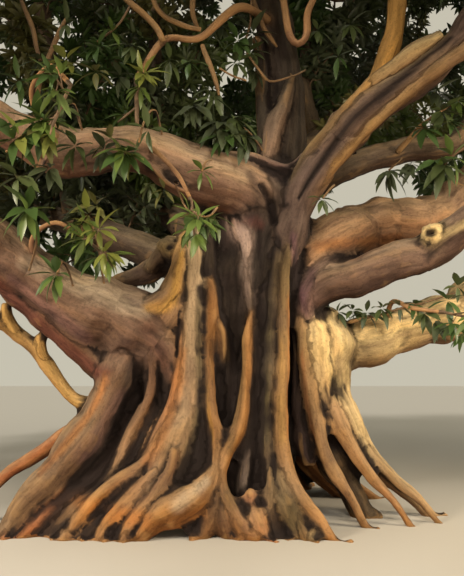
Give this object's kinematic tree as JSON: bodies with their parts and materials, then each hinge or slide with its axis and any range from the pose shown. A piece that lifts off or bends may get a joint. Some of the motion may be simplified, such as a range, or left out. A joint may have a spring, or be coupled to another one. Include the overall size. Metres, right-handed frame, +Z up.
{
  "type": "banyan tree",
  "caption": "Broad banyan tree: a trunk of fused buttress roots, wide tapering boughs, a prop root and a domed crown of separate foliage masses.",
  "frame": {"origin": "on the flat cut at ground level, under the trunk's core, at the mount ground", "axes": "+Z up; the tree is seen along +Y, with +X to the right"},
  "size_m": [17.5789, 18.0204, 12.7849],
  "materials": {
    "root_bark": "rough bark",
    "bough_bark": "rough bark",
    "foliage": "waxy leaves"
  },
  "bodies": {
    "root": {"bough_back": "bough_bark", "bough_back_left": "bough_bark", "bough_back_right": "bough_bark", "bough_centre": "bough_bark", "bough_front": "bough_bark", "bough_left_back": "bough_bark", "bough_left_high": "bough_bark", "bough_left_low": "bough_bark", "bough_right_knot": "bough_bark", "bough_right_low": "bough_bark", "bough_right_middle": "bough_bark", "bough_right_rising": "bough_bark", "bough_right_upper": "bough_bark", "branch_front_left": "bough_bark", "branch_hanging": "bough_bark", "branch_left_low": "bough_bark", "branch_loop_down": "bough_bark", "branch_loop_up": "bough_bark", "branch_right_low": "bough_bark", "branch_top_left": "bough_bark", "foliage_back": "foliage", "foliage_back_left": "foliage", "foliage_back_right": "foliage", "foliage_centre": "foliage", "foliage_fork_back_left": "foliage", "foliage_fork_back_right": "foliage", "foliage_fork_centre_back": "foliage", "foliage_fork_centre_front": "foliage", "foliage_fork_centre_left": "foliage", "foliage_fork_left_back": "foliage", "foliage_fork_left_high": "foliage", "foliage_fork_right_knot": "foliage", "foliage_fork_right_rising": "foliage", "foliage_front": "foliage", "foliage_left_back": "foliage", "foliage_left_high": "foliage", "foliage_left_low": "foliage", "foliage_right_knot": "foliage", "foliage_right_low": "foliage", "foliage_right_middle": "foliage", "foliage_right_rising": "foliage", "foliage_right_upper": "foliage", "fork_back_left": "bough_bark", "fork_back_right": "bough_bark", "fork_centre_back": "bough_bark", "fork_centre_front": "bough_bark", "fork_centre_left": "bough_bark", "fork_left_back": "bough_bark", "fork_left_high": "bough_bark", "fork_right_knot": "bough_bark", "fork_right_rising": "bough_bark", "prop_root_left": "bough_bark", "spray_front_left": "foliage", "spray_hanging": "foliage", "spray_left_low": "foliage", "spray_right_low": "foliage", "spray_top_left": "foliage", "trunk": "root_bark"}
  },
  "joints": []
}
